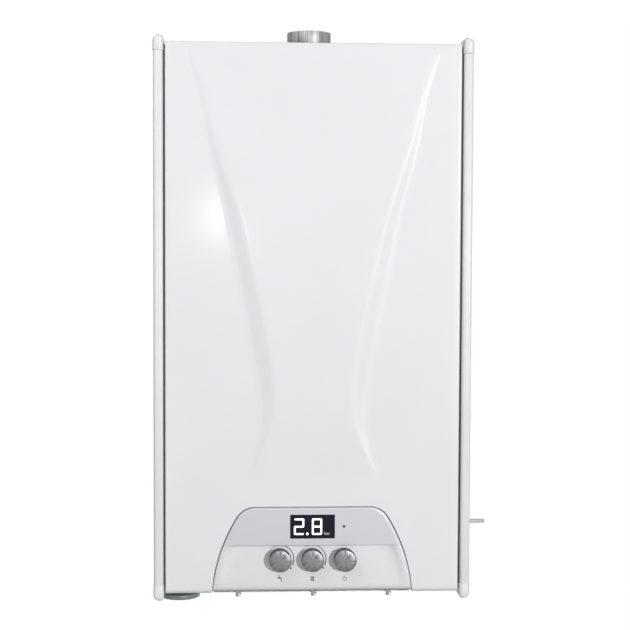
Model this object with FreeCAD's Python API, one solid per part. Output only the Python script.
"""Wall-hung gas boiler, built as separate pieces. Millimetres, +Z up, front towards -Y.

The origin is the middle of the wall bracket's bolt line, on the wall plane.
"""
import FreeCAD
import Part
import math
import os

os.makedirs("parts", exist_ok=True)
V = FreeCAD.Vector
AXIS_X = V(1, 0, 0)
AXIS_Y = V(0, 1, 0)
AXIS_Z = V(0, 0, 1)

# Fits shared by all pieces
OVERRUN = 2.0
RUNNING = 0.3
SHEET = 1.2

# Casing
CASE_WIDTH = 404.0
CASE_HEIGHT = 710.0
CASE_DEPTH = 246.0
WALL_GAP = 22.0
BOLT_LINE_BELOW_TOP = 50.0
FLANGE_WIDTH = 14.0
TOP = BOLT_LINE_BELOW_TOP
BASE = TOP - CASE_HEIGHT
FLOOR = BASE + SHEET
BACK = -WALL_GAP
REAR = BACK - SHEET
FLANGE = BACK - CASE_DEPTH
FLANGE_BACK = FLANGE + SHEET
HALF = CASE_WIDTH / 2
INNER = HALF - SHEET

# Wall bracket and spacers
BOLT_SPACING = 250.0
BOLT_HOLE_RADIUS = 4.5
BRACKET_LENGTH = 300.0
BRACKET_HEIGHT = 40.0
BRACKET_SHEET = 2.5
HOOK_SPACING = 160.0
HOOK_WIDTH = 40.0
HOOK_LEVEL = 12.5
HOOK_LIP = 14.0
HOOK_SLOT = 18.0
SPACER_RADIUS = 12.0
SPACER_SPACING = 340.0
SPACER_LEVEL = 110.0

# Side rails, their end caps and the seals beside the front panel
RAIL_WIDTH = 12.3
RAIL_DEPTH = 32.0
RAIL_OVERHANG = 3.0
RAIL_CORNER = 4.0
RAIL_CAP_LENGTH = 20.0
RAIL_CAP_REACH = 8.0
RAIL_CAP_BULGE = 0.6
RAIL_CAP_OUTER_SHARE = 0.58
RAIL_CAP_INNER_SHARE = 0.31
RAIL_OUTER = HALF + RAIL_OVERHANG
RAIL_INNER = RAIL_OUTER - RAIL_WIDTH
RAIL_FRONT = FLANGE - RAIL_DEPTH
SEAL_SETBACK = 6.0
SEAL_DEPTH = 16.0

# Front panel
PANEL_GAP = 2.5
PANEL_SETBACK = 4.0
PANEL_RETURN = 25.0
PANEL_HALF = RAIL_INNER - PANEL_GAP
PANEL_FRONT = RAIL_FRONT + PANEL_SETBACK
BOSS_RISE = 5.0
PANEL_FOOT_ROUND = 7.0
# Stations of the raised hourglass: height, middle of its side slope, width of that slope, rise.
# Heights are shares of the casing height, half-widths and slopes are shares of the panel's half-width.
BOSS_SHARES = [
    (0.985, 0.850, 0.006, 0.02),
    (0.900, 0.745, 0.030, 0.20),
    (0.817, 0.680, 0.046, 0.38),
    (0.700, 0.552, 0.070, 0.66),
    (0.580, 0.452, 0.094, 0.88),
    (0.480, 0.376, 0.106, 1.00),
    (0.400, 0.322, 0.096, 0.96),
    (0.340, 0.306, 0.080, 0.80),
    (0.285, 0.340, 0.058, 0.44),
    (0.215, 0.440, 0.010, 0.02),
]

# Control panel
FASCIA_HEIGHT = 112.5
FASCIA_BASE_HALF = 129.8
FASCIA_TOP_SHARE = 0.592
FASCIA_CLEARANCE = 1.2
FASCIA_WALL = 4.5
FASCIA_RIM_DEPTH = 12.0
FASCIA_RIM = 2.0
FASCIA_SIDE_SHARES = [(0.912, 0.50), (0.764, 0.862)]
FASCIA_SHOULDER_SHARES = (0.694, 0.954)
FASCIA_TOP_HALF = FASCIA_TOP_SHARE * FASCIA_BASE_HALF
SCOOP_TOP = 62.5
SCOOP_BASE = 5.0
SCOOP_DEPTH = 2.5
SCOOP_TOP_SHARE = 0.709
SCOOP_BASE_SHARE = 0.863
SCOOP_TOP_HALF = SCOOP_TOP_SHARE * FASCIA_BASE_HALF
SCOOP_BASE_HALF = SCOOP_BASE_SHARE * FASCIA_BASE_HALF
DISPLAY_WIDTH = 58.0
DISPLAY_HEIGHT = 31.0
DISPLAY_LEVEL = 87.2
DISPLAY_THICK = 2.0
LAMP_RADIUS = 1.7
LAMP_X = 41.0
KNOB_RADIUS = 14.5
KNOB_HEIGHT = 14.0
KNOB_SPACING = 42.0
KNOB_LEVEL = 45.0
KNOB_EDGE = 1.5
KNOB_GAP = 0.5
SPINDLE_RADIUS = 3.0
SPINDLE_ENTRY = 4.0
POT_RADIUS = 8.0
POT_DEPTH = 8.0
BOARD_THICK = 1.6
BOARD_MARGIN = 4.0
BOX_SHARE = 0.732
BOX_MARGIN = 7.0
BOX_HALF = BOX_SHARE * FASCIA_BASE_HALF
BOARD_HALF = BOX_HALF - BOX_MARGIN
BOX_BOTTOM = 9.0
BOX_TOP = 96.0
BOX_DEPTH = 45.0
BOX_WALL = 2.0
LUG_WIDTH = 3.2
LUG_REACH = 4.0
LUG_THICK = 6.0
LUG_SHARE = 0.755
LUG_SPACING = LUG_SHARE * FASCIA_BASE_HALF
HINGE_RADIUS = 1.2
KNUCKLE_WIDTH = 3.6
HINGE_ROOM = 1.0
PIN_FIT = 0.05
FASCIA_LIFT = 2.5
FASCIA_BACK = PANEL_FRONT + FASCIA_WALL
FASCIA_FOOT = BASE + FASCIA_LIFT
HINGE_Y = PANEL_FRONT + LUG_THICK / 2
HINGE_Z = BASE - LUG_REACH / 2
TONGUE_FRONT = HINGE_Y + LUG_THICK / 2 + HINGE_ROOM
BOARD_FRONT = FASCIA_BACK + POT_DEPTH
KNOB_BASE = PANEL_FRONT + KNOB_GAP

# Flue
FLUE_SETBACK_SHARE = 0.5203
FLUE_Y = BACK - FLUE_SETBACK_SHARE * CASE_DEPTH
FLUE_RADIUS = 30.0
FLUE_WALL = 1.5
FLUE_RISE = 33.0
FLUE_END = 18.0
FLUE_STEP = 0.5
COLLAR_RADIUS = 50.0
COLLAR_HEIGHT = 12.0
ADAPTER_RADIUS = 72.0
ADAPTER_THICK = 3.0
ADAPTER_RIB = 2.0
ADAPTER_RIB_HEIGHT = 7.0
ADAPTER_RIB_COUNT = 3
GASKET_THICK = 1.5
FLUE_SCREW_COUNT = 4
FLUE_SCREW_RADIUS = 2.0
FLUE_SCREW_HEAD_RADIUS = 3.8
FLUE_SCREW_HEAD = 2.4
FLUE_SCREW_LENGTH = 9.0

# Heat exchanger drum and burner
DRUM_LEVEL_SHARE = 0.70423
DRUM_LEVEL = DRUM_LEVEL_SHARE * CASE_HEIGHT
DRUM_RADIUS = 95.0
DRUM_WALL = 6.0
DRUM_LENGTH_SHARE = 0.439
DRUM_SETBACK_SHARE = 0.309
DRUM_LENGTH = DRUM_LENGTH_SHARE * CASE_DEPTH
DRUM_BACK = BACK - DRUM_SETBACK_SHARE * CASE_DEPTH
DRUM_PLATE = 2.0
DRUM_PLATE_HALF = 60.0
DRUM_PLATE_SHARE = 0.9014
DRUM_PLATE_TOP = DRUM_PLATE_SHARE * CASE_HEIGHT
DRUM_NECK_WALL = 4.0
DRUM_NECK_RISE = 17.0
STANDOFF_RADIUS = 8.0
STANDOFF_SPACING = 90.0
DOOR_THICK = 6.0
BURNER_RADIUS = 35.0
BURNER_WALL = 1.5
BURNER_SHARE = 0.74
BURNER_LENGTH = BURNER_SHARE * DRUM_LENGTH
ELECTRODE_OFFSET = 58.0
ELECTRODE_RADIUS = 1.5
ELECTRODE_BODY_RADIUS = 6.0
ELECTRODE_BODY = 26.0
ELECTRODE_REACH = 40.0
DRUM_FRONT = DRUM_BACK - DRUM_LENGTH
DOOR_FRONT = DRUM_FRONT - DOOR_THICK
DRUM_Z = BASE + DRUM_LEVEL

# Fan and gas mixer
FAN_X = -118.0
FAN_LEVEL_SHARE = 0.87324
FAN_LEVEL = FAN_LEVEL_SHARE * CASE_HEIGHT
FAN_RADIUS = 58.0
FAN_DEPTH_SHARE = 0.1545
FAN_DEPTH = FAN_DEPTH_SHARE * CASE_DEPTH
FAN_WALL = 2.0
FAN_OUTLET = 34.0
FAN_OUTLET_REACH = 58.0
FAN_INLET_RADIUS = 20.0
FAN_WHEEL_RADIUS = 48.0
FAN_WHEEL_ROOM = 4.0
FAN_WHEEL_DEPTH = FAN_DEPTH - 2 * FAN_WHEEL_ROOM
FAN_BLADES = 12
FAN_BLADE_THICK = 2.0
FAN_DISC = 3.0
FAN_HUB_RADIUS = 12.0
FAN_SHAFT_RADIUS = 4.0
FAN_SHAFT_ENTRY = 10.0
FAN_MOTOR_RADIUS = 30.0
FAN_MOTOR_LENGTH = 38.0
MIXER_RADIUS = 25.0
MIXER_LENGTH_SHARE = 0.1463
MIXER_LENGTH = MIXER_LENGTH_SHARE * CASE_DEPTH
MIXER_BORE = 16.0
ELBOW_RADIUS = 15.0
ELBOW_BEND = 38.0
FAN_BACK = DOOR_FRONT
FAN_FRONT = FAN_BACK - FAN_DEPTH
FAN_MID = FAN_BACK - FAN_DEPTH / 2
FAN_Z = BASE + FAN_LEVEL
OUTLET_Z = FAN_Z - FAN_RADIUS + FAN_OUTLET / 2
OUTLET_X = FAN_X + FAN_OUTLET_REACH

# Connections under the casing
TAIL_SETBACK_SHARE = 0.5203
TAIL_Y = BACK - TAIL_SETBACK_SHARE * CASE_DEPTH
TAIL_DROP = 30.0
TAIL_SPACING = 65.0
TAIL_THREAD = 24.0
PIPE_RADIUS = 9.0
PIPE_WALL = 1.2
LARGE_THREAD_RADIUS = 13.2
SMALL_THREAD_RADIUS = 10.5
TAIL_NUT_RADIUS = 17.0
TAIL_NUT = 6.0
TAIL_HOLE_CLEARANCE = 0.4
WATER_PIPE_RADIUS = 7.5
WATER_PIPE_BEND = 12.0

# Gas valve and gas pipe
VALVE_LEVEL_SHARE = 0.4085
VALVE_HEIGHT_SHARE = 0.1127
VALVE_LEVEL = VALVE_LEVEL_SHARE * CASE_HEIGHT
VALVE_HEIGHT = VALVE_HEIGHT_SHARE * CASE_HEIGHT
VALVE_WIDTH = 60.0
VALVE_DEPTH = 56.0
VALVE_COIL_RADIUS = 14.0
VALVE_COIL = 24.0
GAS_PIPE_RADIUS = 6.0
GAS_PIPE_BEND = 25.0
VALVE_FRONT = TAIL_Y - VALVE_DEPTH / 2
MIXER_MID = FAN_FRONT - MIXER_LENGTH / 2

# Water side
VESSEL_RADIUS = 150.0
VESSEL_DEPTH_SHARE = 0.2642
VESSEL_DEPTH = VESSEL_DEPTH_SHARE * CASE_DEPTH
VESSEL_LEVEL_SHARE = 0.6056
VESSEL_LEVEL = VESSEL_LEVEL_SHARE * CASE_HEIGHT
VESSEL_ROUND = 20.0
VESSEL_WALL = 1.5
BLOCK_LEVEL = 80.0
BLOCK_WIDTH = 50.0
BLOCK_DEPTH = 70.0
BLOCK_HEIGHT = 60.0
DIVERTER_EXTRA = 10.0
ACTUATOR_RADIUS = 20.0
ACTUATOR_LENGTH = 40.0
EXCHANGER_HALF = 95.0
EXCHANGER_DEPTH_SHARE = 0.2846
EXCHANGER_SETBACK_SHARE = 0.1545
EXCHANGER_DEPTH = EXCHANGER_DEPTH_SHARE * CASE_DEPTH
EXCHANGER_BACK = BACK - EXCHANGER_SETBACK_SHARE * CASE_DEPTH
EXCHANGER_PLATES = 12
EXCHANGER_GROOVE = 1.5
PORT_RADIUS = 6.0
PUMP_RADIUS = 45.0
PUMP_DEPTH = 50.0
PUMP_WALL = 4.0
PUMP_SEAT = 50.0
PUMP_NECK_RADIUS = 13.0
PUMP_WHEEL_RADIUS = 36.0
PUMP_WHEEL_DEPTH = 30.0
PUMP_SHAFT_RADIUS = 4.0
PUMP_SHAFT_ENTRY = 8.0
PUMP_BLADES = 6
PUMP_MOTOR_RADIUS = 40.0
PUMP_MOTOR_LENGTH = 60.0
FLOW_PIPE_RADIUS = 8.0
FLOW_PIPE_BEND = 20.0
SAFETY_RADIUS = 12.0
SAFETY_LENGTH = 30.0
SAFETY_KNOB_RADIUS = 15.0
SAFETY_KNOB = 20.0
SAFETY_GRIPS = 8
SAFETY_GRIP_RADIUS = 2.0
SAFETY_STEM_RADIUS = 4.0
TRAP_X = 65.0
TRAP_SETBACK_SHARE = 0.6626
TRAP_Y = BACK - TRAP_SETBACK_SHARE * CASE_DEPTH
TRAP_RADIUS = 22.0
TRAP_LEVEL_SHARE = 0.3521
TRAP_LEVEL = TRAP_LEVEL_SHARE * CASE_HEIGHT
TRAP_HEIGHT = 100.0
TRAP_PIPE_RADIUS = 8.0
TRAP_DROP = 20.0
TRAP_CUP_RADIUS = 17.0
TRAP_CUP = 30.0
BLOCK_Z = BASE + BLOCK_LEVEL
BLOCK_MID_Z = BLOCK_Z + BLOCK_HEIGHT / 2
BLOCK_FRONT = TAIL_Y - BLOCK_DEPTH / 2
BLOCK_BACK = TAIL_Y + BLOCK_DEPTH / 2
HEATING_X = 2 * TAIL_SPACING
EXCHANGER_FRONT = EXCHANGER_BACK - EXCHANGER_DEPTH
PUMP_Z = BLOCK_Z + BLOCK_HEIGHT + PUMP_SEAT
PUMP_BACK = TAIL_Y + PUMP_DEPTH / 2
PUMP_FRONT = PUMP_BACK - PUMP_DEPTH

# Pressure gauge under the left front corner, dial facing down
GAUGE_INSET = 29.0
GAUGE_SETBACK = 18.0
GAUGE_X = GAUGE_INSET - HALF
GAUGE_Y = FLANGE + GAUGE_SETBACK
GAUGE_RADIUS = 26.0
GAUGE_RIM = 6.0
GAUGE_WALL = 2.5
GAUGE_DROP = 13.0
GAUGE_NECK_RADIUS = 13.0
GAUGE_STUD_RADIUS = 7.0
GAUGE_NUT_RADIUS = 12.0
GAUGE_NUT = 8.0
GAUGE_DIAL_DEPTH = 4.0
GAUGE_LENS = 1.2
POINTER_LENGTH = 18.0
POINTER_TAIL = 6.0
POINTER_WIDTH = 2.0
POINTER_THICK = 0.8
POINTER_HUB = 2.5
GAUGE_FACE = BASE - GAUGE_DROP

# Mains lead: leaves the right side, turns back behind the casing and is coiled in the wall gap
LEAD_RADIUS = 3.0
LEAD_Y = -86.0
LEAD_LEVEL = 51.3
LEAD_BEND_SHARE = 0.45
GLAND_RADIUS = 9.0
GLAND_LENGTH = 5.0
GLAND_NUT = 6.0
GLAND_STEM_RADIUS = 6.0
GLAND_TAPER = 17.0
GLAND_TIP_RADIUS = 4.6
COIL_TURNS = 2
COIL_RADIUS = 40.0
COIL_PITCH = 6.8
COIL_LAYER = 7.0
CLIP_WIDTH = 9.0
CLIP_WALL = 1.6
CLIP_SLACK = 1.0
# Points of the lead, with heights above the casing's bottom
LEAD_POINTS = [
    (207.0, -86.0, 51.3),
    (249.0, -86.0, 51.3),
    (271.0, -48.65, 43.8),
    (249.0, -11.3, 36.4),
    (206.0, -11.6, 35.2),
    (167.0, -13.2, 34.4),
    (130.0, -13.2, 34.4),
]
LEAD_ROUTE = [V(x, y, BASE + z) for x, y, z in LEAD_POINTS]


# Shape helpers
def save(node, shape):
    shape.exportStep("parts/" + node + ".step")
    print(node, "solids", len(shape.Solids), "volume", round(shape.Volume, 1), "valid", shape.isValid())


def box(x0, x1, y0, y1, z0, z1):
    """A box between the given planes, in any order."""
    low = V(min(x0, x1), min(y0, y1), min(z0, z1))
    return Part.makeBox(abs(x1 - x0), abs(y1 - y0), abs(z1 - z0), low)


def rod(radius, start, end):
    """A round bar from one point to another."""
    return Part.makeCylinder(radius, (end - start).Length, start, end - start)


def ring(outer, inner, start, end):
    """A tube from one point to another."""
    along = (end - start).normalize() * OVERRUN
    return rod(outer, start, end).cut(rod(inner, start - along, end + along))


def along_y(radius, x, z, y0, y1):
    return rod(radius, V(x, y0, z), V(x, y1, z))


def along_z(radius, x, y, z0, z1):
    return rod(radius, V(x, y, z0), V(x, y, z1))


def mirrored(shape):
    return shape.mirror(V(0, 0, 0), AXIS_X)


def fuse(pieces):
    whole = pieces[0]
    for piece in pieces[1:]:
        whole = whole.fuse(piece)
    return whole.removeSplitter()


def polar(radius, turn_share):
    """A point of a circle in the plane of X and Z, by its share of a turn."""
    angle = 2 * math.pi * turn_share
    return radius * math.cos(angle), radius * math.sin(angle)


def rounded_route(points, radius_of):
    """Straight runs joined by tangent arcs. Gives the wire, its length and the arcs' radii."""
    edges = []
    radii = []
    start = points[0]
    for index in range(1, len(points) - 1):
        before = points[index] - points[index - 1]
        after = points[index + 1] - points[index]
        half_turn = before.getAngle(after) / 2
        radius = radius_of(min(before.Length, after.Length), half_turn)
        before.normalize()
        after.normalize()
        cut = radius * math.tan(half_turn)
        first = points[index] - before * cut
        last = points[index] + after * cut
        inward = (after - before).normalize()
        middle = points[index] + inward * (radius / math.cos(half_turn) - radius)
        edges.append(Part.LineSegment(start, first).toShape())
        edges.append(Part.Arc(first, middle, last).toShape())
        radii.append(radius)
        start = last
    edges.append(Part.LineSegment(start, points[-1]).toShape())
    return Part.Wire(edges), sum(edge.Length for edge in edges), radii


def sweep(wire, radius, start, direction):
    """One tube of a round section along a route."""
    section = Part.Wire(Part.makeCircle(radius, start, direction))
    return wire.makePipeShell([section], True, False)


def pipe(points, radius, bend, wall=0):
    """A bent pipe, hollow if it has a wall."""
    wire, length, radii = rounded_route(points, lambda run, half_turn: bend)
    solid = sweep(wire, radius, points[0], points[1] - points[0])
    if wall:
        solid = solid.cut(sweep(wire, radius - wall, points[0], points[1] - points[0]))
    return solid


# Casing
def wall_bracket():
    plate = box(-BRACKET_LENGTH / 2, BRACKET_LENGTH / 2, -BRACKET_SHEET, 0,
                -BRACKET_HEIGHT / 2, BRACKET_HEIGHT / 2)
    for side in (-1, 1):
        hole_x = side * BOLT_SPACING / 2
        plate = plate.cut(along_y(BOLT_HOLE_RADIUS, hole_x, 0, OVERRUN, -BRACKET_SHEET - OVERRUN))
    pieces = [plate]
    lip_back = REAR - RUNNING
    lip_front = lip_back - BRACKET_SHEET
    for side in (-1, 1):
        left = side * HOOK_SPACING / 2 - HOOK_WIDTH / 2
        right = left + HOOK_WIDTH
        pieces.append(box(left, right, -BRACKET_SHEET, lip_front, HOOK_LEVEL - BRACKET_SHEET, HOOK_LEVEL))
        pieces.append(box(left, right, lip_back, lip_front, HOOK_LEVEL, HOOK_LEVEL + HOOK_LIP))
    return fuse(pieces)


def rear_panel():
    panel = box(-INNER, INNER, BACK, REAR, BASE, TOP)
    for side in (-1, 1):
        left = side * HOOK_SPACING / 2 - HOOK_WIDTH / 2 - RUNNING
        right = left + HOOK_WIDTH + 2 * RUNNING
        slot_foot = HOOK_LEVEL - HOOK_SLOT
        panel = panel.cut(box(left, right, BACK + OVERRUN, REAR - OVERRUN, slot_foot, HOOK_LEVEL))
    return panel


def wall_spacers():
    level = BASE + SPACER_LEVEL
    return Part.Compound([along_y(SPACER_RADIUS, side * SPACER_SPACING / 2, level, BACK, 0)
                          for side in (-1, 1)])


def side_panel():
    """The right side panel with its front flange."""
    sheet = box(INNER, HALF, BACK, FLANGE, BASE, TOP)
    flange = box(HALF - FLANGE_WIDTH, HALF, FLANGE_BACK, FLANGE, BASE, TOP)
    return fuse([sheet, flange])


def gland_hole(panel):
    level = BASE + LEAD_LEVEL
    start = V(INNER - OVERRUN, LEAD_Y, level)
    end = V(HALF + OVERRUN, LEAD_Y, level)
    return panel.cut(rod(GLAND_STEM_RADIUS + RUNNING, start, end))


def top_plate():
    plate = box(-INNER, INNER, REAR, FLANGE_BACK, TOP - SHEET, TOP)
    plate = plate.cut(along_z(COLLAR_RADIUS, 0, FLUE_Y, TOP - SHEET - OVERRUN, TOP + OVERRUN))
    for x, y in flue_screw_places():
        plate = plate.cut(along_z(FLUE_SCREW_RADIUS + RUNNING, x, y, TOP - SHEET - OVERRUN, TOP + OVERRUN))
    return plate


def tail_places():
    """Place and thread radius of the five connections, from left to right."""
    large = (-HEATING_X, 0, HEATING_X)
    small = (-TAIL_SPACING, TAIL_SPACING)
    places = [(x, LARGE_THREAD_RADIUS) for x in large] + [(x, SMALL_THREAD_RADIUS) for x in small]
    return sorted(places)


def hinge_knuckles():
    """Ears under the bottom plate's tongue that carry the hinge pins."""
    ears = []
    for step in (-1, 0, 1):
        left = step * LUG_SPACING + LUG_WIDTH / 2 + RUNNING
        ear = box(left, left + KNUCKLE_WIDTH, PANEL_FRONT, TONGUE_FRONT + LUG_THICK, BASE - LUG_REACH, BASE)
        start = V(left - OVERRUN, HINGE_Y, HINGE_Z)
        end = V(left + KNUCKLE_WIDTH + OVERRUN, HINGE_Y, HINGE_Z)
        ears.append(ear.cut(rod(HINGE_RADIUS + PIN_FIT, start, end)))
    return ears


def bottom_plate():
    plate = box(-INNER, INNER, REAR, FLANGE_BACK, BASE, FLOOR)
    tongue_half = FASCIA_BASE_HALF - FASCIA_RIM
    plate = plate.fuse(box(-tongue_half, tongue_half, FLANGE_BACK, TONGUE_FRONT, BASE, FLOOR))
    below = BASE - OVERRUN
    above = FLOOR + OVERRUN
    for x, thread in tail_places():
        plate = plate.cut(along_z(PIPE_RADIUS + TAIL_HOLE_CLEARANCE, x, TAIL_Y, below, above))
    plate = plate.cut(along_z(TRAP_PIPE_RADIUS + TAIL_HOLE_CLEARANCE, TRAP_X, TRAP_Y, below, above))
    plate = plate.cut(along_z(GAUGE_STUD_RADIUS + RUNNING, GAUGE_X, GAUGE_Y, below, above))
    return fuse([plate] + hinge_knuckles())


# Rails and seals
def rail_section(grow, z0, z1):
    """A length of the right rail's section, with its two front edges rounded."""
    face = RAIL_FRONT - grow
    body = box(RAIL_INNER - grow, RAIL_OUTER + grow, FLANGE, face, z0, z1)
    front = [edge for edge in body.Edges
             if edge.BoundBox.YMax < face + RUNNING and edge.BoundBox.ZLength > RAIL_CORNER]
    return body.makeFillet(RAIL_CORNER + grow, front)


def rail():
    return rail_section(0, BASE - RAIL_CAP_REACH + RAIL_CAP_LENGTH, TOP + RAIL_CAP_REACH - RAIL_CAP_LENGTH)


def rail_cap(tip, joint):
    """A bulged end cap from the joint with the rail to its tip, with a wide round at the outer corner."""
    face = RAIL_FRONT - RAIL_CAP_BULGE
    inner = RAIL_INNER - RAIL_CAP_BULGE
    outer = RAIL_OUTER + RAIL_CAP_BULGE
    cap = box(inner, outer, FLANGE, face, min(tip, joint), max(tip, joint))
    for x, share in ((outer, RAIL_CAP_OUTER_SHARE), (inner, RAIL_CAP_INNER_SHARE)):
        corner = [edge for edge in cap.Edges
                  if abs(edge.BoundBox.Center.x - x) < RUNNING and abs(edge.BoundBox.Center.z - tip) < RUNNING]
        cap = cap.makeFillet(share * (outer - inner), corner)
    front = [edge for edge in cap.Edges
             if edge.BoundBox.YMax < face + RUNNING and abs(edge.BoundBox.Center.z - joint) > RUNNING]
    return cap.makeFillet(RAIL_CORNER + RAIL_CAP_BULGE, front)


def rail_caps():
    caps = []
    for tip, inward in ((TOP + RAIL_CAP_REACH, -1), (BASE - RAIL_CAP_REACH, 1)):
        right = rail_cap(tip, tip + inward * RAIL_CAP_LENGTH)
        caps += [right, mirrored(right)]
    return Part.Compound(caps)


def edge_seal():
    z0 = BASE - RAIL_CAP_REACH + RAIL_CAP_LENGTH
    z1 = TOP + RAIL_CAP_REACH - RAIL_CAP_LENGTH
    front = RAIL_FRONT + SEAL_SETBACK
    return box(PANEL_HALF + RUNNING, RAIL_INNER, front, front + SEAL_DEPTH, z0, z1)


# Front panel
def boss_section(height_share, side_share, slope_share, rise_share):
    """One cross-section of the raised hourglass, from behind the panel's face to its crown."""
    z = BASE + height_share * CASE_HEIGHT
    outer = (side_share + slope_share / 2) * PANEL_HALF
    inner = (side_share - slope_share / 2) * PANEL_HALF
    crown = PANEL_FRONT - rise_share * BOSS_RISE
    right = [(outer, PANEL_FRONT + SHEET / 2), (outer, PANEL_FRONT), (inner, crown)]
    outline = right + [(-x, y) for x, y in reversed(right)]
    points = [V(x, y, z) for x, y in outline]
    return Part.makePolygon(points + [points[0]])


def arch(grow, foot, y0, y1):
    """The control panel's arch outline, grown evenly, as a prism between two depths."""
    half = FASCIA_BASE_HALF + grow
    height = FASCIA_HEIGHT + grow
    side = [V(share * half, y0, BASE + rise * height) for share, rise in FASCIA_SIDE_SHARES]
    shoulder = V(FASCIA_SHOULDER_SHARES[0] * half, y0, BASE + FASCIA_SHOULDER_SHARES[1] * height)
    bottom = V(half, y0, foot)
    crown = V(FASCIA_TOP_HALF + grow, y0, BASE + height)

    def over(point):
        return V(-point.x, point.y, point.z)

    edges = [
        Part.Arc(bottom, side[0], side[1]),
        Part.Arc(side[1], shoulder, crown),
        Part.LineSegment(crown, over(crown)),
        Part.Arc(over(crown), over(shoulder), over(side[1])),
        Part.Arc(over(side[1]), over(side[0]), over(bottom)),
        Part.LineSegment(over(bottom), bottom),
    ]
    wire = Part.Wire([edge.toShape() for edge in edges])
    return Part.Face(wire).extrude(V(0, y1 - y0, 0))


def rounded_foot(block, rounding):
    """A panel block with its lower front edge rounded."""
    room = block.BoundBox
    foot = [edge for edge in block.Edges
            if edge.BoundBox.ZMax < room.ZMin + RUNNING and edge.BoundBox.YMax < room.YMin + RUNNING]
    return block.makeFillet(rounding, foot)


def front_panel():
    boss = Part.makeLoft([boss_section(*shares) for shares in BOSS_SHARES], True, True)
    back = PANEL_FRONT + PANEL_RETURN
    outer = rounded_foot(box(-PANEL_HALF, PANEL_HALF, PANEL_FRONT, back, BASE, TOP), PANEL_FOOT_ROUND)
    wide = PANEL_HALF - SHEET
    inner = box(-wide, wide, PANEL_FRONT + SHEET, back + OVERRUN, FLOOR, TOP - SHEET)
    inner = rounded_foot(inner, PANEL_FOOT_ROUND - SHEET).fuse(boss.translated(V(0, SHEET, 0)))
    opening = arch(FASCIA_CLEARANCE, BASE - OVERRUN, PANEL_FRONT - OVERRUN, back + OVERRUN)
    return outer.fuse(boss).cut(inner).cut(opening)


# Control panel
def knob_places():
    """Sideways places of the three knobs."""
    return [step * KNOB_SPACING for step in (-1, 0, 1)]


def display_box(grow, y0, y1):
    level = BASE + DISPLAY_LEVEL
    half_width = DISPLAY_WIDTH / 2 + grow
    half_height = DISPLAY_HEIGHT / 2 + grow
    return box(-half_width, half_width, y0, y1, level - half_height, level + half_height)


def scoop():
    """The shallow wedge cut under the display, deepest at its upper edge and flared downwards."""
    sections = []
    for half, depth, level in ((SCOOP_TOP_HALF, SCOOP_DEPTH, SCOOP_TOP), (SCOOP_BASE_HALF, 0, SCOOP_BASE)):
        front = PANEL_FRONT - OVERRUN
        back = PANEL_FRONT + depth
        z = BASE + level
        corners = [V(-half, front, z), V(half, front, z), V(half, back, z), V(-half, back, z)]
        sections.append(Part.makePolygon(corners + [corners[0]]))
    return Part.makeLoft(sections, True, True)


def control_fascia():
    plate = arch(0, FASCIA_FOOT, PANEL_FRONT, FASCIA_BACK)
    rim_back = PANEL_FRONT + FASCIA_RIM_DEPTH
    rim = arch(0, FASCIA_FOOT, FASCIA_BACK, rim_back)
    rim = rim.cut(arch(-FASCIA_RIM, FASCIA_FOOT + FASCIA_RIM, FASCIA_BACK - OVERRUN, rim_back + OVERRUN))
    pieces = [plate, rim]
    for step in (-1, 0, 1):
        middle = step * LUG_SPACING
        lug = box(middle - LUG_WIDTH / 2, middle + LUG_WIDTH / 2, PANEL_FRONT, PANEL_FRONT + LUG_THICK,
                  BASE - LUG_REACH, FASCIA_FOOT + FASCIA_RIM)
        pieces.append(lug)
    fascia = fuse(pieces)
    hinge_start = V(-FASCIA_BASE_HALF, HINGE_Y, HINGE_Z)
    hinge_end = V(FASCIA_BASE_HALF, HINGE_Y, HINGE_Z)
    cuts = [rod(HINGE_RADIUS + RUNNING, hinge_start, hinge_end), scoop()]
    cuts.append(display_box(RUNNING, PANEL_FRONT - OVERRUN, PANEL_FRONT + DISPLAY_THICK))
    cuts.append(display_box(-DISPLAY_THICK, PANEL_FRONT, FASCIA_BACK + OVERRUN))
    front = PANEL_FRONT - OVERRUN
    back = FASCIA_BACK + OVERRUN
    for x in knob_places():
        cuts.append(along_y(SPINDLE_RADIUS + RUNNING, x, BASE + KNOB_LEVEL, front, back))
    lamp = along_y(LAMP_RADIUS + RUNNING, LAMP_X, BASE + DISPLAY_LEVEL, front, back)
    for cut in cuts + [lamp]:
        fascia = fascia.cut(cut)
    return fascia


def display_window():
    return display_box(0, PANEL_FRONT, PANEL_FRONT + DISPLAY_THICK)


def status_lamp():
    return along_y(LAMP_RADIUS, LAMP_X, BASE + DISPLAY_LEVEL, PANEL_FRONT, BOARD_FRONT)


def circuit_board():
    """Board with the display and the three potentiometers soldered on."""
    low = BASE + BOX_BOTTOM + BOX_WALL + BOARD_MARGIN
    high = BASE + BOX_TOP - BOX_WALL
    level = BASE + KNOB_LEVEL
    board = [box(-BOARD_HALF, BOARD_HALF, BOARD_FRONT, BOARD_FRONT + BOARD_THICK, low, high)]
    board.append(display_box(-DISPLAY_THICK - RUNNING, PANEL_FRONT + DISPLAY_THICK, BOARD_FRONT))
    socket_end = FASCIA_BACK + SPINDLE_ENTRY + RUNNING
    for x in knob_places():
        body = along_y(POT_RADIUS, x, level, FASCIA_BACK, BOARD_FRONT)
        board.append(body.cut(along_y(SPINDLE_RADIUS + RUNNING, x, level, FASCIA_BACK - OVERRUN, socket_end)))
    return fuse(board)


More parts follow.
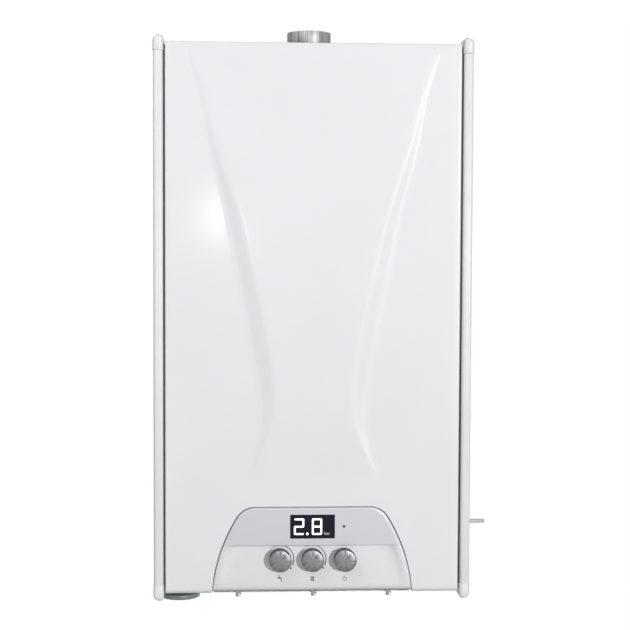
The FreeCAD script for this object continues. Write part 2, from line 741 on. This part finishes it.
def control_box_cover():
    """Cover behind the board, notched for the display."""
    back = FASCIA_BACK + BOX_DEPTH
    outer = box(-BOX_HALF, BOX_HALF, FASCIA_BACK, back, BASE + BOX_BOTTOM, BASE + BOX_TOP)
    wide = BOX_HALF - BOX_WALL
    inner = box(-wide, wide, FASCIA_BACK - OVERRUN, back - BOX_WALL,
                BASE + BOX_BOTTOM + BOX_WALL, BASE + BOX_TOP - BOX_WALL)
    return outer.cut(inner).cut(display_box(0, FASCIA_BACK - OVERRUN, BOARD_FRONT + RUNNING))


def knob(x):
    """A round knob with a pointer groove, on its own spindle."""
    level = BASE + KNOB_LEVEL
    face = KNOB_BASE - KNOB_HEIGHT
    body = along_y(KNOB_RADIUS, x, level, KNOB_BASE, face)
    rim = [edge for edge in body.Edges if edge.BoundBox.YMax < face + RUNNING]
    body = body.makeFillet(KNOB_EDGE, rim)
    spindle = along_y(SPINDLE_RADIUS, x, level, face + KNOB_HEIGHT / 2, FASCIA_BACK + SPINDLE_ENTRY)
    groove = box(x - KNOB_EDGE / 2, x + KNOB_EDGE / 2, face - OVERRUN, face + KNOB_EDGE / 2,
                 level + KNOB_RADIUS / 2, level + KNOB_RADIUS + OVERRUN)
    return fuse([body, spindle]).cut(groove)


def hinge_pins():
    pins = []
    for step in (-1, 0, 1):
        left = step * LUG_SPACING - LUG_WIDTH / 2
        right = left + LUG_WIDTH + RUNNING + KNUCKLE_WIDTH
        pins.append(rod(HINGE_RADIUS, V(left, HINGE_Y, HINGE_Z), V(right, HINGE_Y, HINGE_Z)))
    return Part.Compound(pins)


# Flue
def flue_screw_places():
    radius = (COLLAR_RADIUS + ADAPTER_RADIUS) / 2
    places = []
    for step in range(FLUE_SCREW_COUNT):
        across, along = polar(radius, (step + 0.5) / FLUE_SCREW_COUNT)
        places.append((across, FLUE_Y + along))
    return places


def flue_gasket():
    seat = ring(ADAPTER_RADIUS, COLLAR_RADIUS, V(0, FLUE_Y, TOP), V(0, FLUE_Y, TOP + GASKET_THICK))
    for x, y in flue_screw_places():
        above = TOP + GASKET_THICK + OVERRUN
        seat = seat.cut(along_z(FLUE_SCREW_RADIUS + RUNNING, x, y, TOP - OVERRUN, above))
    return seat


def flue_adapter():
    """Flange and air collar round the flue, with ribs that centre the flue spigot."""
    foot = TOP + GASKET_THICK
    bore = COLLAR_RADIUS - FLUE_WALL
    flange = ring(ADAPTER_RADIUS, bore, V(0, FLUE_Y, foot), V(0, FLUE_Y, foot + ADAPTER_THICK))
    collar = ring(COLLAR_RADIUS, bore, V(0, FLUE_Y, foot), V(0, FLUE_Y, foot + COLLAR_HEIGHT))
    pieces = [flange, collar]
    for step in range(ADAPTER_RIB_COUNT):
        rib = box(0, COLLAR_RADIUS - FLUE_WALL / 2, -ADAPTER_RIB / 2, ADAPTER_RIB / 2, 0, ADAPTER_RIB_HEIGHT)
        rib.rotate(V(0, 0, 0), AXIS_Z, 360 * step / ADAPTER_RIB_COUNT)
        rib.translate(V(0, FLUE_Y, foot))
        pieces.append(rib.cut(along_z(FLUE_RADIUS + RUNNING, 0, FLUE_Y, TOP, foot + COLLAR_HEIGHT)))
    adapter = fuse(pieces)
    for x, y in flue_screw_places():
        adapter = adapter.cut(along_z(FLUE_SCREW_RADIUS + RUNNING, x, y, TOP, foot + COLLAR_HEIGHT))
    return adapter


def flue_screws():
    head_seat = TOP + GASKET_THICK + ADAPTER_THICK
    screws = []
    for x, y in flue_screw_places():
        head = along_z(FLUE_SCREW_HEAD_RADIUS, x, y, head_seat, head_seat + FLUE_SCREW_HEAD)
        shank = along_z(FLUE_SCREW_RADIUS, x, y, head_seat - FLUE_SCREW_LENGTH, head_seat)
        screws.append(fuse([head, shank]))
    return Part.Compound(screws)


def flue_spigot():
    """Flue tube from the drum's neck, a little wider at its free end where the next pipe goes on."""
    foot = DRUM_Z + DRUM_RADIUS + DRUM_PLATE
    head = TOP + FLUE_RISE
    tube = along_z(FLUE_RADIUS - FLUE_STEP, 0, FLUE_Y, foot, head)
    end = along_z(FLUE_RADIUS, 0, FLUE_Y, head - FLUE_END, head)
    return fuse([tube, end]).cut(along_z(FLUE_RADIUS - FLUE_WALL, 0, FLUE_Y, foot - OVERRUN, head + OVERRUN))


# Heat exchanger drum and burner
def heat_exchanger_drum():
    """Drum open to the front, with a rear plate to hang it by and a neck for the flue."""
    body = along_y(DRUM_RADIUS, 0, DRUM_Z, DRUM_BACK, DRUM_FRONT)
    plate = box(-DRUM_PLATE_HALF, DRUM_PLATE_HALF, DRUM_BACK, DRUM_BACK - DRUM_PLATE,
                DRUM_Z, BASE + DRUM_PLATE_TOP)
    neck_radius = FLUE_RADIUS + RUNNING + DRUM_NECK_WALL
    neck = along_z(neck_radius, 0, FLUE_Y, DRUM_Z, DRUM_Z + DRUM_RADIUS + DRUM_NECK_RISE)
    drum = fuse([body, plate, neck])
    drum = drum.cut(along_y(DRUM_RADIUS - DRUM_WALL, 0, DRUM_Z, DRUM_BACK - DRUM_WALL, DRUM_FRONT - OVERRUN))
    socket_foot = DRUM_Z + DRUM_RADIUS + DRUM_PLATE
    drum = drum.cut(along_z(FLUE_RADIUS + RUNNING, 0, FLUE_Y, socket_foot, socket_foot + CASE_HEIGHT))
    return drum.cut(along_z(FLUE_RADIUS - FLUE_WALL, 0, FLUE_Y, DRUM_Z, socket_foot + OVERRUN))


def drum_standoffs():
    level = BASE + DRUM_PLATE_TOP - 2 * STANDOFF_RADIUS
    return Part.Compound([along_y(STANDOFF_RADIUS, side * STANDOFF_SPACING / 2, level, REAR, DRUM_BACK)
                          for side in (-1, 1)])


def burner_door():
    """Round door that closes the drum, with the gas inlet in its middle and the electrode's hole above it."""
    inside = DRUM_FRONT + OVERRUN
    outside = DOOR_FRONT - OVERRUN
    door = along_y(DRUM_RADIUS, 0, DRUM_Z, DRUM_FRONT, DOOR_FRONT)
    door = door.cut(along_y(ELBOW_RADIUS - PIPE_WALL, 0, DRUM_Z, inside, outside))
    return door.cut(along_y(ELECTRODE_RADIUS + RUNNING, ELECTRODE_OFFSET, DRUM_Z, inside, outside))


def burner_tube():
    back = DRUM_FRONT + BURNER_LENGTH
    tube = along_y(BURNER_RADIUS, 0, DRUM_Z, DRUM_FRONT, back)
    return tube.cut(along_y(BURNER_RADIUS - BURNER_WALL, 0, DRUM_Z, DRUM_FRONT - OVERRUN, back - BURNER_WALL))


def ignition_electrode():
    body = along_y(ELECTRODE_BODY_RADIUS, ELECTRODE_OFFSET, DRUM_Z, DOOR_FRONT, DOOR_FRONT - ELECTRODE_BODY)
    needle = along_y(ELECTRODE_RADIUS, ELECTRODE_OFFSET, DRUM_Z, DOOR_FRONT, DRUM_FRONT + ELECTRODE_REACH)
    return fuse([body, needle])


def burner_inlet_elbow():
    """Tube from the fan's outlet down to the middle of the burner door."""
    points = [V(OUTLET_X, FAN_MID, OUTLET_Z), V(0, FAN_MID, OUTLET_Z), V(0, FAN_MID, DRUM_Z)]
    upper = pipe(points, ELBOW_RADIUS, ELBOW_BEND, PIPE_WALL)
    bore = ELBOW_RADIUS - PIPE_WALL
    mouth = along_y(bore, 0, DRUM_Z, DOOR_FRONT + OVERRUN, FAN_FRONT + PIPE_WALL)
    core = along_z(bore, 0, FAN_MID, DRUM_Z, OUTLET_Z - ELBOW_BEND)
    block = along_y(ELBOW_RADIUS, 0, DRUM_Z, DOOR_FRONT, FAN_FRONT)
    return upper.fuse(block.cut(mouth).cut(core)).cut(mouth)


# Fan and gas mixer
def fan_housing():
    """Volute with its outlet duct, an inlet hole in front and a shaft hole behind."""
    drum = along_y(FAN_RADIUS, FAN_X, FAN_Z, FAN_BACK, FAN_FRONT)
    low = FAN_Z - FAN_RADIUS
    duct = box(FAN_X, OUTLET_X, FAN_BACK, FAN_FRONT, low, low + FAN_OUTLET)
    housing = fuse([drum, duct])
    inner_back = FAN_BACK - FAN_WALL
    inner_front = FAN_FRONT + FAN_WALL
    housing = housing.cut(along_y(FAN_RADIUS - FAN_WALL, FAN_X, FAN_Z, inner_back, inner_front))
    housing = housing.cut(box(FAN_X, OUTLET_X - FAN_WALL, inner_back, inner_front,
                              low + FAN_WALL, low + FAN_OUTLET - FAN_WALL))
    start = V(OUTLET_X - FAN_WALL - OVERRUN, FAN_MID, OUTLET_Z)
    housing = housing.cut(rod(ELBOW_RADIUS - PIPE_WALL, start, V(OUTLET_X + OVERRUN, FAN_MID, OUTLET_Z)))
    housing = housing.cut(along_y(FAN_INLET_RADIUS, FAN_X, FAN_Z, inner_front + OVERRUN, FAN_FRONT - OVERRUN))
    shaft_hole = FAN_SHAFT_RADIUS + RUNNING
    return housing.cut(along_y(shaft_hole, FAN_X, FAN_Z, FAN_BACK + OVERRUN, inner_back - OVERRUN))


def wheel(x, z, middle, radius, depth, disc, blades, hub_radius, shaft_radius, shaft_end):
    """A bladed wheel on a shaft along the depth, blades in front of its disc."""
    back = middle + depth / 2
    front = middle - depth / 2
    pieces = [along_y(radius, x, z, back, back - disc), along_y(hub_radius, x, z, back, front)]
    for step in range(blades):
        blade = box(hub_radius / 2, radius - disc / 2, back, front, -FAN_BLADE_THICK / 2, FAN_BLADE_THICK / 2)
        blade.rotate(V(0, 0, 0), AXIS_Y, 360 * step / blades)
        blade.translate(V(x, 0, z))
        pieces.append(blade)
    pieces.append(along_y(shaft_radius, x, z, front, shaft_end))
    return fuse(pieces)


def fan_wheel():
    return wheel(FAN_X, FAN_Z, FAN_MID, FAN_WHEEL_RADIUS, FAN_WHEEL_DEPTH, FAN_DISC, FAN_BLADES,
                 FAN_HUB_RADIUS, FAN_SHAFT_RADIUS, FAN_BACK + FAN_SHAFT_ENTRY)


def fan_motor():
    motor = along_y(FAN_MOTOR_RADIUS, FAN_X, FAN_Z, FAN_BACK, FAN_BACK + FAN_MOTOR_LENGTH)
    return motor.cut(along_y(FAN_SHAFT_RADIUS + RUNNING, FAN_X, FAN_Z, FAN_BACK - OVERRUN,
                             FAN_BACK + FAN_SHAFT_ENTRY + RUNNING))


def gas_mixer():
    """Venturi in front of the fan's inlet, with the gas entering from below."""
    front = FAN_FRONT - MIXER_LENGTH
    mixer = along_y(MIXER_RADIUS, FAN_X, FAN_Z, FAN_FRONT, front)
    boss = along_z(GAS_PIPE_RADIUS * 2, FAN_X, MIXER_MID, FAN_Z - MIXER_RADIUS - GAS_PIPE_RADIUS, FAN_Z)
    mixer = fuse([mixer, boss])
    return mixer.cut(along_y(MIXER_BORE, FAN_X, FAN_Z, FAN_FRONT + OVERRUN, front - OVERRUN))


# Gas side
def tail(x, thread_radius, top):
    """Upright pipe through the bottom plate, with a threaded end and a nut under the plate."""
    foot = BASE - TAIL_DROP
    shank = along_z(PIPE_RADIUS, x, TAIL_Y, foot, top)
    thread = along_z(thread_radius, x, TAIL_Y, foot, foot + TAIL_THREAD)
    nut = along_z(TAIL_NUT_RADIUS, x, TAIL_Y, BASE - TAIL_NUT, BASE)
    return fuse([shank, thread, nut]).cut(along_z(PIPE_RADIUS - PIPE_WALL, x, TAIL_Y, foot - OVERRUN, BASE))


def gas_inlet_pipe():
    return tail(0, LARGE_THREAD_RADIUS, BASE + VALVE_LEVEL)


def gas_valve():
    bottom = BASE + VALVE_LEVEL
    body = box(-VALVE_WIDTH / 2, VALVE_WIDTH / 2, VALVE_FRONT, VALVE_FRONT + VALVE_DEPTH,
               bottom, bottom + VALVE_HEIGHT)
    middle = bottom + VALVE_HEIGHT / 2
    start = V(VALVE_WIDTH / 2, TAIL_Y, middle)
    solenoid = rod(VALVE_COIL_RADIUS, start, start + V(VALVE_COIL, 0, 0))
    mirror_start = V(-VALVE_WIDTH / 2, TAIL_Y, middle)
    second = rod(VALVE_COIL_RADIUS, mirror_start, mirror_start - V(VALVE_COIL, 0, 0))
    return fuse([body, solenoid, second])


def gas_pipe():
    level = BASE + VALVE_LEVEL + VALVE_HEIGHT / 2
    points = [V(0, VALVE_FRONT, level), V(0, MIXER_MID, level), V(FAN_X, MIXER_MID, level),
              V(FAN_X, MIXER_MID, FAN_Z - MIXER_RADIUS - GAS_PIPE_RADIUS)]
    return pipe(points, GAS_PIPE_RADIUS, GAS_PIPE_BEND, PIPE_WALL)


# Water side
def rounded_drum(radius, y0, y1, rounding):
    """A flat drum along the depth with both its edges rounded."""
    drum = along_y(radius, 0, BASE + VESSEL_LEVEL, y0, y1)
    return drum.makeFillet(rounding, [edge for edge in drum.Edges if edge.BoundBox.YLength < RUNNING])


def expansion_vessel():
    front = REAR - VESSEL_DEPTH
    outer = rounded_drum(VESSEL_RADIUS, REAR, front, VESSEL_ROUND)
    inner = rounded_drum(VESSEL_RADIUS - VESSEL_WALL, REAR - VESSEL_WALL, front + VESSEL_WALL,
                         VESSEL_ROUND - VESSEL_WALL)
    return outer.cut(inner)


def heating_tails():
    return Part.Compound([tail(side * HEATING_X, LARGE_THREAD_RADIUS, BLOCK_Z) for side in (-1, 1)])


def block(x, height):
    left = x - BLOCK_WIDTH / 2
    return box(left, left + BLOCK_WIDTH, BLOCK_FRONT, BLOCK_BACK, BLOCK_Z, BLOCK_Z + height)


def return_manifold():
    return block(HEATING_X, BLOCK_HEIGHT)


def diverter_block():
    return block(-HEATING_X, BLOCK_HEIGHT + DIVERTER_EXTRA)


def diverter_actuator():
    return along_y(ACTUATOR_RADIUS, -HEATING_X, BLOCK_MID_Z, BLOCK_FRONT, BLOCK_FRONT - ACTUATOR_LENGTH)


def plate_heat_exchanger():
    """Stack of brazed plates with a port at each end."""
    stack = box(-EXCHANGER_HALF, EXCHANGER_HALF, EXCHANGER_BACK, EXCHANGER_FRONT,
                BLOCK_Z, BLOCK_Z + BLOCK_HEIGHT)
    pitch = EXCHANGER_DEPTH / EXCHANGER_PLATES
    for step in range(1, EXCHANGER_PLATES):
        y = EXCHANGER_FRONT + step * pitch
        top = BLOCK_Z + BLOCK_HEIGHT
        stack = stack.cut(box(-EXCHANGER_HALF - OVERRUN, EXCHANGER_HALF + OVERRUN, y - EXCHANGER_GROOVE / 2,
                              y + EXCHANGER_GROOVE / 2, top - EXCHANGER_GROOVE, top + OVERRUN))
    port_y = (EXCHANGER_FRONT + BLOCK_BACK) / 2
    reach = HEATING_X - BLOCK_WIDTH / 2
    ports = []
    for side in (-1, 1):
        near = V(side * EXCHANGER_HALF, port_y, BLOCK_MID_Z)
        far = V(side * reach, port_y, BLOCK_MID_Z)
        ports.append(rod(PORT_RADIUS, near, far))
    return fuse([stack] + ports)


def water_pipe(x):
    """Hot or cold water connection, bent back into the plate heat exchanger."""
    lower = tail(x, SMALL_THREAD_RADIUS, BASE + TAIL_NUT)
    points = [V(x, TAIL_Y, BASE + TAIL_NUT), V(x, TAIL_Y, BLOCK_MID_Z), V(x, EXCHANGER_FRONT, BLOCK_MID_Z)]
    return fuse([lower, pipe(points, WATER_PIPE_RADIUS, WATER_PIPE_BEND)])


def pump_housing():
    """Pump volute on a neck above the return manifold, open to its motor in front."""
    volute = along_y(PUMP_RADIUS, HEATING_X, PUMP_Z, PUMP_BACK, PUMP_FRONT)
    neck = along_z(PUMP_NECK_RADIUS, HEATING_X, TAIL_Y, BLOCK_Z + BLOCK_HEIGHT, PUMP_Z)
    outlet = along_z(PUMP_NECK_RADIUS, HEATING_X, TAIL_Y, PUMP_Z, PUMP_Z + PUMP_SEAT)
    housing = fuse([volute, neck, outlet])
    inside = PUMP_BACK - PUMP_WALL
    return housing.cut(along_y(PUMP_RADIUS - PUMP_WALL, HEATING_X, PUMP_Z, inside, PUMP_FRONT - OVERRUN))


def pump_wheel():
    middle = (PUMP_BACK + PUMP_FRONT) / 2
    return wheel(HEATING_X, PUMP_Z, middle, PUMP_WHEEL_RADIUS, PUMP_WHEEL_DEPTH, PUMP_WALL, PUMP_BLADES,
                 PUMP_SHAFT_RADIUS * 2, PUMP_SHAFT_RADIUS, PUMP_FRONT - PUMP_SHAFT_ENTRY)


def pump_motor():
    flange = along_y(PUMP_RADIUS, HEATING_X, PUMP_Z, PUMP_FRONT, PUMP_FRONT - PUMP_WALL)
    motor = along_y(PUMP_MOTOR_RADIUS, HEATING_X, PUMP_Z, PUMP_FRONT, PUMP_FRONT - PUMP_MOTOR_LENGTH)
    socket = along_y(PUMP_SHAFT_RADIUS + RUNNING, HEATING_X, PUMP_Z, PUMP_FRONT + OVERRUN,
                     PUMP_FRONT - PUMP_SHAFT_ENTRY - RUNNING)
    return fuse([flange, motor]).cut(socket)


def drum_pipe(side, foot):
    """Pipe from a foot beside the tails up to the side of the drum."""
    x = side * HEATING_X
    points = [V(x, TAIL_Y, foot), V(x, TAIL_Y, DRUM_Z), V(side * DRUM_RADIUS, TAIL_Y, DRUM_Z)]
    return pipe(points, FLOW_PIPE_RADIUS, FLOW_PIPE_BEND, PIPE_WALL)


def flow_pipe():
    return drum_pipe(-1, BLOCK_Z + BLOCK_HEIGHT + DIVERTER_EXTRA)


def return_pipe():
    return drum_pipe(1, PUMP_Z + PUMP_SEAT)


def safety_valve():
    front = BLOCK_FRONT - SAFETY_LENGTH
    body = along_y(SAFETY_RADIUS, HEATING_X, BLOCK_MID_Z, BLOCK_FRONT, front)
    stem = along_y(SAFETY_STEM_RADIUS, HEATING_X, BLOCK_MID_Z, front, front - SAFETY_KNOB / 2)
    return fuse([body, stem])


def safety_knob():
    """Turn knob with grip grooves, on the safety valve's stem."""
    back = BLOCK_FRONT - SAFETY_LENGTH - RUNNING
    front = back - SAFETY_KNOB
    cap = along_y(SAFETY_KNOB_RADIUS, HEATING_X, BLOCK_MID_Z, back, front)
    for step in range(SAFETY_GRIPS):
        across, up = polar(SAFETY_KNOB_RADIUS, step / SAFETY_GRIPS)
        x = HEATING_X + across
        z = BLOCK_MID_Z + up
        cap = cap.cut(along_y(SAFETY_GRIP_RADIUS, x, z, back + OVERRUN, front - OVERRUN))
    return cap.cut(along_y(SAFETY_STEM_RADIUS + RUNNING, HEATING_X, BLOCK_MID_Z, back + OVERRUN,
                           back - SAFETY_KNOB / 2 - RUNNING))


def condensate_trap():
    """Trap under the drum, with a pipe up to the drum and a drain through the bottom plate."""
    foot = BASE + TRAP_LEVEL
    head = foot + TRAP_HEIGHT
    body = along_z(TRAP_RADIUS, TRAP_X, TRAP_Y, foot, head)
    cup = along_z(TRAP_CUP_RADIUS, TRAP_X, TRAP_Y, foot - TRAP_CUP, foot)
    drain = along_z(TRAP_PIPE_RADIUS, TRAP_X, TRAP_Y, BASE - TRAP_DROP, foot)
    nearest = TRAP_X - TRAP_PIPE_RADIUS
    drum_under = DRUM_Z - math.sqrt(DRUM_RADIUS ** 2 - nearest ** 2)
    inlet = along_z(TRAP_PIPE_RADIUS, TRAP_X, TRAP_Y, head, drum_under - RUNNING)
    return fuse([body, cup, drain, inlet])


# Pressure gauge
def pressure_gauge():
    """Dial case under the bottom plate, held by a stud and a nut above the plate."""
    rim_top = GAUGE_FACE + GAUGE_RIM
    case = along_z(GAUGE_RADIUS, GAUGE_X, GAUGE_Y, GAUGE_FACE, rim_top)
    neck = along_z(GAUGE_NECK_RADIUS, GAUGE_X, GAUGE_Y, rim_top, BASE)
    stud = along_z(GAUGE_STUD_RADIUS, GAUGE_X, GAUGE_Y, BASE, FLOOR)
    nut = along_z(GAUGE_NUT_RADIUS, GAUGE_X, GAUGE_Y, FLOOR, FLOOR + GAUGE_NUT)
    gauge = fuse([case, neck, stud, nut])
    dial_top = GAUGE_FACE + GAUGE_DIAL_DEPTH
    dial = along_z(GAUGE_RADIUS - GAUGE_WALL, GAUGE_X, GAUGE_Y, GAUGE_FACE - OVERRUN, dial_top)
    post = along_z(POINTER_THICK, GAUGE_X, GAUGE_Y, GAUGE_FACE + GAUGE_LENS + RUNNING, dial_top)
    return fuse([gauge.cut(dial), post])


def gauge_pointer():
    high = GAUGE_FACE + GAUGE_DIAL_DEPTH - RUNNING
    low = high - POINTER_THICK
    hand = box(GAUGE_X - POINTER_WIDTH / 2, GAUGE_X + POINTER_WIDTH / 2, GAUGE_Y - POINTER_TAIL,
               GAUGE_Y + POINTER_LENGTH, low, high)
    hub = along_z(POINTER_HUB, GAUGE_X, GAUGE_Y, low, high)
    hole = along_z(POINTER_THICK + RUNNING, GAUGE_X, GAUGE_Y, low - OVERRUN, high + OVERRUN)
    return fuse([hand, hub]).cut(hole)


def gauge_lens():
    radius = GAUGE_RADIUS - GAUGE_WALL - RUNNING
    return along_z(radius, GAUGE_X, GAUGE_Y, GAUGE_FACE, GAUGE_FACE + GAUGE_LENS)


# Mains lead
def lead_gland():
    """Cable gland through the right side panel, with its nut inside and a tapered sleeve round the lead."""
    level = BASE + LEAD_LEVEL
    exit_x = HALF + GLAND_LENGTH
    head = rod(GLAND_RADIUS, V(HALF, LEAD_Y, level), V(exit_x, LEAD_Y, level))
    stem = rod(GLAND_STEM_RADIUS, V(INNER, LEAD_Y, level), V(HALF, LEAD_Y, level))
    nut = rod(GLAND_RADIUS, V(INNER - GLAND_NUT, LEAD_Y, level), V(INNER, LEAD_Y, level))
    tip_x = exit_x + GLAND_TAPER
    sleeve = Part.makeCone(GLAND_RADIUS, GLAND_TIP_RADIUS, GLAND_TAPER, V(exit_x, LEAD_Y, level), AXIS_X)
    bore = rod(LEAD_RADIUS + RUNNING, V(exit_x, LEAD_Y, level), V(tip_x + OVERRUN, LEAD_Y, level))
    return fuse([head, stem, nut, sleeve]).cut(bore)


def mains_lead():
    def bend_radius(shorter_run, half_turn):
        return LEAD_BEND_SHARE * shorter_run / math.tan(half_turn)

    wire, length, radii = rounded_route(LEAD_ROUTE, bend_radius)
    tube = sweep(wire, LEAD_RADIUS, LEAD_ROUTE[0], LEAD_ROUTE[1] - LEAD_ROUTE[0])
    section = math.pi * LEAD_RADIUS ** 2
    print("lead radii", [round(radius, 1) for radius in radii])
    print("lead length", round(length, 1), "volume by section", round(section * length, 1))
    return tube


def coil_centre():
    """Middle of the coil's first layer: the lead meets the coil's lowest point."""
    return LEAD_ROUTE[-1] + V(-2 * LEAD_RADIUS, 0, COIL_RADIUS)


def half_turn_arc(x, y, z_from, z_to, side):
    """Half a turn in one layer, between two heights on the coil's upright middle line."""
    radius = abs(z_to - z_from) / 2
    return Part.Arc(V(x, y, z_from), V(x + side * radius, y, (z_from + z_to) / 2), V(x, y, z_to)).toShape()


def quarter_arc(start, corner, end):
    """A quarter turn that touches two equal legs at their ends."""
    centre = start + end - corner
    middle = centre + (corner - centre) * (1 / math.sqrt(2))
    return Part.Arc(start, middle, end).toShape()


def coil_route():
    """Spirals in on one layer, climbs to the next in half a turn and spirals out again."""
    centre = coil_centre()
    x = centre.x
    near = centre.y
    far = centre.y + COIL_LAYER
    edges = [Part.LineSegment(LEAD_ROUTE[-1], V(x, near, centre.z - COIL_RADIUS)).toShape()]
    for turn in range(COIL_TURNS):
        radius = COIL_RADIUS - turn * COIL_PITCH
        low = centre.z - radius
        high = centre.z + radius
        edges.append(half_turn_arc(x, near, low, high, -1))
        edges.append(half_turn_arc(x, near, high, low + COIL_PITCH, 1))
    least = COIL_RADIUS - COIL_TURNS * COIL_PITCH
    start = V(x, near, centre.z - least)
    end = V(x, far, centre.z + least)
    leg = V(-(end - start).Length / 2, 0, 0)
    middle = (start + end) * 0.5 + leg
    edges.append(quarter_arc(start, start + leg, middle))
    edges.append(quarter_arc(middle, end + leg, end))
    for turn in range(COIL_TURNS):
        radius = least + turn * COIL_PITCH
        low = centre.z - radius - COIL_PITCH
        edges.append(half_turn_arc(x, far, centre.z + radius, low, 1))
        edges.append(half_turn_arc(x, far, low, centre.z + radius + COIL_PITCH, -1))
    last = V(x, far, centre.z + COIL_RADIUS)
    edges.append(Part.LineSegment(last, last + V(2 * LEAD_RADIUS, 0, 0)).toShape())
    return edges


def least_self_gap(edges):
    """Least clear distance between stretches of the coil that lie more than half a turn apart."""
    points = []
    travelled = 0
    for edge in edges:
        count = max(2, int(edge.Length / LEAD_RADIUS))
        samples = edge.discretize(count)
        if points and (samples[0] - points[-1][1]).Length > (samples[-1] - points[-1][1]).Length:
            samples.reverse()
        for index, point in enumerate(samples):
            points.append((travelled + edge.Length * index / (count - 1), point))
        travelled += edge.Length
    half_turn = math.pi * (COIL_RADIUS - COIL_TURNS * COIL_PITCH)
    least = COIL_RADIUS
    for place, (at, point) in enumerate(points):
        for other_at, other in points[place + 1:]:
            if other_at - at > half_turn:
                least = min(least, (other - point).Length - 2 * LEAD_RADIUS)
    return least


def mains_lead_coil():
    edges = coil_route()
    wire = Part.Wire(edges)
    coil = sweep(wire, LEAD_RADIUS, LEAD_ROUTE[-1], -AXIS_X)
    length = sum(edge.Length for edge in edges)
    section = math.pi * LEAD_RADIUS ** 2
    print("coil length", round(length, 1), "volume by section", round(section * length, 1),
          "least self gap", round(least_self_gap(edges), 2))
    return coil


def lead_clip():
    """Clip on the rear panel's back, closed round all turns of the coil at its left side."""
    centre = coil_centre()
    outer_x = centre.x - COIL_RADIUS - LEAD_RADIUS - RUNNING
    inner_x = centre.x - COIL_RADIUS + COIL_TURNS * COIL_PITCH + LEAD_RADIUS + CLIP_SLACK
    front = centre.y - LEAD_RADIUS - RUNNING
    back = centre.y + COIL_LAYER + LEAD_RADIUS + RUNNING
    low = centre.z - CLIP_WIDTH / 2
    high = centre.z + CLIP_WIDTH / 2
    frame = box(outer_x - CLIP_WALL, inner_x + CLIP_WALL, BACK, back + CLIP_WALL, low, high)
    return frame.cut(box(outer_x, inner_x, front, back, low - OVERRUN, high + OVERRUN))


# All pieces
right_rail = rail()
right_seal = edge_seal()
right_side = side_panel()
PIECES = {
    "wall_bracket": wall_bracket(),
    "rear_panel": rear_panel(),
    "wall_spacers": wall_spacers(),
    "side_panel_left": mirrored(right_side),
    "side_panel_right": gland_hole(right_side),
    "top_plate": top_plate(),
    "bottom_plate": bottom_plate(),
    "rail_left": mirrored(right_rail),
    "rail_right": right_rail,
    "rail_caps": rail_caps(),
    "edge_seals": Part.Compound([mirrored(right_seal), right_seal]),
    "front_panel": front_panel(),
    "control_fascia": control_fascia(),
    "control_box_cover": control_box_cover(),
    "display_window": display_window(),
    "status_lamp": status_lamp(),
    "circuit_board": circuit_board(),
    "hinge_pins": hinge_pins(),
    "flue_adapter": flue_adapter(),
    "flue_gasket": flue_gasket(),
    "flue_screws": flue_screws(),
    "flue_spigot": flue_spigot(),
    "heat_exchanger_drum": heat_exchanger_drum(),
    "drum_standoffs": drum_standoffs(),
    "burner_door": burner_door(),
    "burner_tube": burner_tube(),
    "ignition_electrode": ignition_electrode(),
    "burner_inlet_elbow": burner_inlet_elbow(),
    "fan_housing": fan_housing(),
    "fan_wheel": fan_wheel(),
    "fan_motor": fan_motor(),
    "gas_mixer": gas_mixer(),
    "gas_valve": gas_valve(),
    "gas_pipe": gas_pipe(),
    "gas_inlet_pipe": gas_inlet_pipe(),
    "expansion_vessel": expansion_vessel(),
    "heating_tails": heating_tails(),
    "return_manifold": return_manifold(),
    "diverter_block": diverter_block(),
    "diverter_actuator": diverter_actuator(),
    "plate_heat_exchanger": plate_heat_exchanger(),
    "water_pipes": Part.Compound([water_pipe(side * TAIL_SPACING) for side in (-1, 1)]),
    "pump_housing": pump_housing(),
    "pump_wheel": pump_wheel(),
    "pump_motor": pump_motor(),
    "flow_pipe": flow_pipe(),
    "return_pipe": return_pipe(),
    "safety_valve": safety_valve(),
    "safety_knob": safety_knob(),
    "condensate_trap": condensate_trap(),
    "pressure_gauge": pressure_gauge(),
    "gauge_pointer": gauge_pointer(),
    "gauge_lens": gauge_lens(),
}
for name, x in zip(("hot_water", "heating", "mode"), knob_places()):
    PIECES["knob_" + name] = knob(x)
PIECES["lead_gland"] = lead_gland()
PIECES["mains_lead"] = mains_lead()
PIECES["mains_lead_coil"] = mains_lead_coil()
PIECES["lead_clip"] = lead_clip()
for node, shape in PIECES.items():
    save(node, shape)
print("pieces", len(PIECES))
